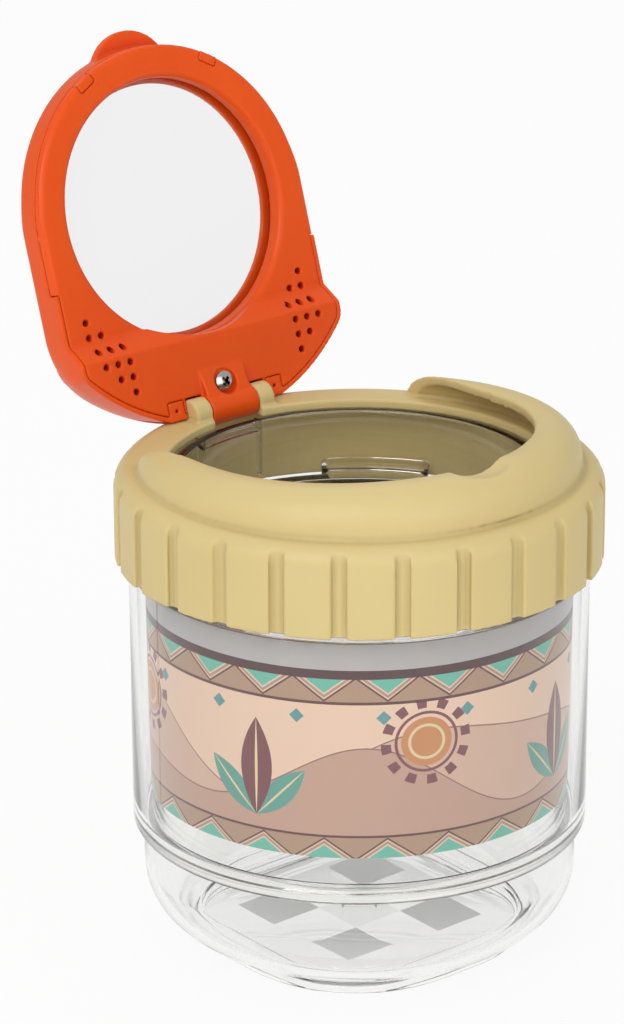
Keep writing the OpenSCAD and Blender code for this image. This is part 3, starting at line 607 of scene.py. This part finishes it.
def vessel():
    """The jar's profile carried round the axis, each radius moved out by its shares of the foot's and the
    floor's rounded squares."""
    path = softened_path(jar_rows())
    angle = np.linspace(0, math.tau, JAR_COLUMNS, endpoint=False)
    foot = square_reach(FOOT_HALF, FOOT_CORNER, angle) - FOOT_HALF
    floor = square_reach(FLOOR_HALF, FLOOR_CORNER, angle) - FLOOR_HALF
    r = path[:, 0, None] + path[:, 2, None] * foot + path[:, 3, None] * floor
    r[0], r[-1] = 0, 0
    return ring_points(r, angle, path[:, 1, None]), [grid_faces(len(path), JAR_COLUMNS, False, True)]


def neck_bar(middle, half, rise, low, high, end):
    """A bar that stands out from the neck by rise, over half an angle to each side of its middle. Near its
    ends the rise is multiplied by sqrt(1 - (1 - s)^2), at least a tenth, where s climbs from 0 to 1 over
    the length end."""
    root = NECK_R + HAIRLINE
    top = NECK_R + rise
    outline = softened_path([(root, low, 0), (top, low, end / 2), (top, high, end / 2), (root, high, 0)])
    along = np.linspace(-half, half, BAR_COLUMNS)
    s = np.clip((half - np.abs(along)) * NECK_R / end, 0, 1)
    swell = np.maximum(np.sqrt(1 - (1 - s) ** 2), 0.1)
    r = root + (outline[:, 0, None] - root) * swell
    return ring_points(r, middle + along, outline[:, 1, None]), capped_faces(len(outline), BAR_COLUMNS)


def jar():
    """The vessel, the lugs round its neck, and the frame of two ribs and a ledge between two of the
    lugs."""
    lug_top, rib_top = LUG_Z + LUG_T, RIM_Z - RIB_DROP
    ledge = rib_top - LEDGE_DROP
    parts = [vessel()]
    for i in range(LUG_COUNT):
        middle = math.tau / LUG_COUNT * (i + 0.5)
        parts.append(neck_bar(middle, LUG_HALF, LUG_RISE, LUG_Z, lug_top, LUG_END))
    for middle in (FRAME_AT - FRAME_HALF, FRAME_AT + FRAME_HALF):
        parts.append(neck_bar(middle, RIB_W / NECK_R / 2, RIB_RISE, lug_top, rib_top, RIB_END))
    parts.append(neck_bar(FRAME_AT, FRAME_HALF, RIB_RISE, ledge, ledge + RIB_W, RIB_END))
    points, faces, base = [], [], 0
    for part_points, part_faces in parts:
        points.append(part_points.reshape(-1, 3))
        faces += [group + base for group in part_faces]
        base += len(points[-1])
    material = clear_plastic("styrene_clear_moulded", "#F8F8F7", True)
    piece("clear_jar", np.concatenate(points), faces, "jar", material, ["inner_jar"])


def sleeve():
    """The outer wall: a closed profile turned round the axis. It starts and ends on the inside of the ring
    on which it stands."""
    core, out, neck = CORE_R + SEAT, BODY_R + SEAT, NECK_R + SEAT
    foot = STEP_Z + SEAT
    start, end = SLEEVE_SEAM
    rows = [
        (core, foot + start, 0),
        (core, foot, 0.2),
        (out, foot, 0.3),
        (out, SLEEVE_Z, 0.4),
        (SLEEVE_R, SLEEVE_Z, SLEEVE_EDGE),
        (SLEEVE_R, SLEEVE_TOP, 0.8),
        (neck, SLEEVE_TOP, 0.2),
        (neck, SLEEVE_TOP - WALL, 0.2),
        (SLEEVE_R - WALL, SLEEVE_TOP - WALL, 0.8),
        (SLEEVE_R - WALL, foot + SLEEVE_RING, 0.8),
        (core, foot + SLEEVE_RING, 0.3),
        (core, foot + end, 0),
    ]
    path = softened_path(rows)
    faces = [grid_faces(len(path), JAR_COLUMNS, True, True)]
    material = clear_plastic("styrene_clear_sleeve", "#F8F8F7", False)
    piece("clear_sleeve", turned(path, JAR_COLUMNS), faces, "jar", material, ["outer_sleeve"])


def band():
    """The film: a thin rectangle carried almost all the way round, with its two ends closed."""
    inside, outside, top = CORE_R + SEAT, CORE_R + SEAT + BAND_T, BAND_Z + BAND_H
    path = np.array([(inside, BAND_Z), (outside, BAND_Z), (outside, top), (inside, top)])
    points = turned(path, BAND_COLUMNS, BAND_SEAM + BAND_GAP / 2, math.tau - BAND_GAP)
    faces = capped_faces(len(path), BAND_COLUMNS)
    material = printed_film("film_polypropylene_printed")
    piece("printed_band", points, faces, "jar", material, ["picture_band"])


def magnifier():
    """The lens: both faces are arcs of height sag * (1 - (r / open)^2), round a flat rim, turned with the
    lid."""
    r = np.linspace(0, LENS_OPEN, LENS_RINGS)
    cap = LENS_SAG * (1 - (r / LENS_OPEN) ** 2)
    rim = [(LENS_R - LENS_BEVEL, 0), (LENS_R, LENS_BEVEL), (LENS_R, LENS_RIM - LENS_BEVEL),
           (LENS_R - LENS_BEVEL, LENS_RIM)]
    path = np.concatenate([np.stack([r, -cap], 1), rim, np.stack([r, LENS_RIM + cap], 1)[::-1]])
    path[:, 1] += LENS_LOW_Z
    points = opened(turned(path, LENS_COLUMNS))
    faces = [grid_faces(len(path), LENS_COLUMNS, False, True)]
    material = clear_plastic("acrylic_lens_polished", "#F4F4F4", False)
    piece("magnifying_lens", points, faces, "lid", material, ["lens"])


def studio_floor():
    """A white floor that keeps a soft shadow: matt for the light that falls on it, and mostly glowing white
    for the rays that see it."""
    bpy.ops.mesh.primitive_plane_add(size=12)
    floor = bpy.context.object
    floor.name = "studio_floor"
    material, tree = new_material("floor_painted_white")
    ray = tree.nodes.new("ShaderNodeLightPath").outputs
    seen = ("MAXIMUM", ray["Is Camera Ray"], ("MAXIMUM", ray["Is Glossy Ray"], ray["Is Transmission Ray"]))
    matt = add(tree, "ShaderNodeBsdfDiffuse", linear("#F4F4F4"))
    glow = add(tree, "ShaderNodeEmission", linear("#FFFFFF"), 1.0)
    shader = add(tree, "ShaderNodeMixShader", ("MULTIPLY", seen, 0.9), matt, glow)
    add(tree, "ShaderNodeOutputMaterial", shader)
    floor.data.materials.append(material)


def studio_world():
    """A plain bright world that the camera sees as white. Light bent upwards by the clear plastic meets a
    darker ceiling, which draws its edges in grey: its brightness falls from 1.0 to 0.2 as the light's rise
    goes from 0.3 to 0.75."""
    world = bpy.data.worlds.new("studio_world")
    bpy.context.scene.world = world
    world.use_nodes = True
    tree = world.node_tree
    tree.nodes.clear()
    ray = tree.nodes.new("ShaderNodeLightPath").outputs
    way = tree.nodes.new("ShaderNodeTexCoord").outputs["Generated"]
    height = add(tree, "ShaderNodeSeparateXYZ", way).node.outputs["Z"]
    ceiling = add(tree, "ShaderNodeMapRange", height, 0.3, 0.75, 1.0, 0.2)
    plain = add(tree, "ShaderNodeBackground", linear("#FFFFFF"), 0.55)
    bent = add(tree, "ShaderNodeBackground", linear("#FFFFFF"), ceiling)
    white = add(tree, "ShaderNodeBackground", linear("#FFFFFF"), 1.0)
    mixed = add(tree, "ShaderNodeMixShader", ray["Is Transmission Ray"], plain, bent)
    add(tree, "ShaderNodeOutputWorld", add(tree, "ShaderNodeMixShader", ray["Is Camera Ray"], mixed, white))


def aimed(name, data, aim_z, azimuth, elevation, distance):
    """Sets up a lamp or camera that looks at the jar's axis at the height aim_z. Azimuth and elevation are
    in degrees, and the way out to it is (sin az * cos el, -cos az * cos el, sin el)."""
    a, e = math.radians(azimuth), math.radians(elevation)
    away = Vector((math.sin(a) * math.cos(e), -math.cos(a) * math.cos(e), math.sin(e)))
    made = bpy.data.objects.new(name, data)
    made.location = Vector((0, 0, aim_z * MM)) + away * distance
    made.rotation_euler = away.to_track_quat("Z", "Y").to_euler()
    bpy.context.scene.collection.objects.link(made)
    return made


def studio_lamps():
    """Three large soft lamps: one from the left, a weaker one from the front and a weak one from behind."""
    for name, azimuth, elevation, distance, size, power in LAMPS:
        data = bpy.data.lights.new(name, "AREA")
        data.size, data.energy = size, power
        aimed(name, data, LAMP_AIM_Z, azimuth, elevation, distance)


def camera():
    """The photograph's view, from the left front and above."""
    data = bpy.data.cameras.new("camera")
    data.lens, data.sensor_width, data.shift_x = FOCAL_LENGTH, SENSOR, SHIFT_X
    bpy.context.scene.camera = aimed("camera", data, CAMERA_AIM_Z, *CAMERA_FROM)


bpy.context.scene.view_settings.view_transform = "Standard"
camera()
studio_floor()
studio_world()
studio_lamps()

# The third colour of each plastic is painted shade, laid into its grooves and corners.
sand = moulded("abs_sand_moulded", light="#D8C48A", dark="#CBB57B", painted_shade_colour="#857040", shade=(1.5, 1.6),
               roughness=0.42, grain_mm=0.35, depth=0.25, scatter=0.04, spread=(0.8, 0.5, 0.2))
orange = moulded("abs_orange_moulded", light="#EC580A", dark="#DB4507", painted_shade_colour="#C42203", shade=(2.5, 1.2),
                 roughness=0.36, grain_mm=0.3, depth=0.2, scatter=0.25, spread=(1.0, 0.25, 0.1))
steel = plated_steel("steel_nickel_plated")
jar()
sleeve()
band()
magnifier()
softened_copy("screw_collar", "sand_collar", "collar", sand, 0.4, 2)
softened_copy("lid_cover", "orange_cover", "lid", orange, 0.26, 3, shaped_cover)
softened_copy("lid_frame", "orange_frame", "lid", orange, 0.26, 2, shaped_frame)
for node in ("lid_screw", "hinge_pin"):
    for holder in frame["nodes"][node].material_slots:
        holder.material = steel
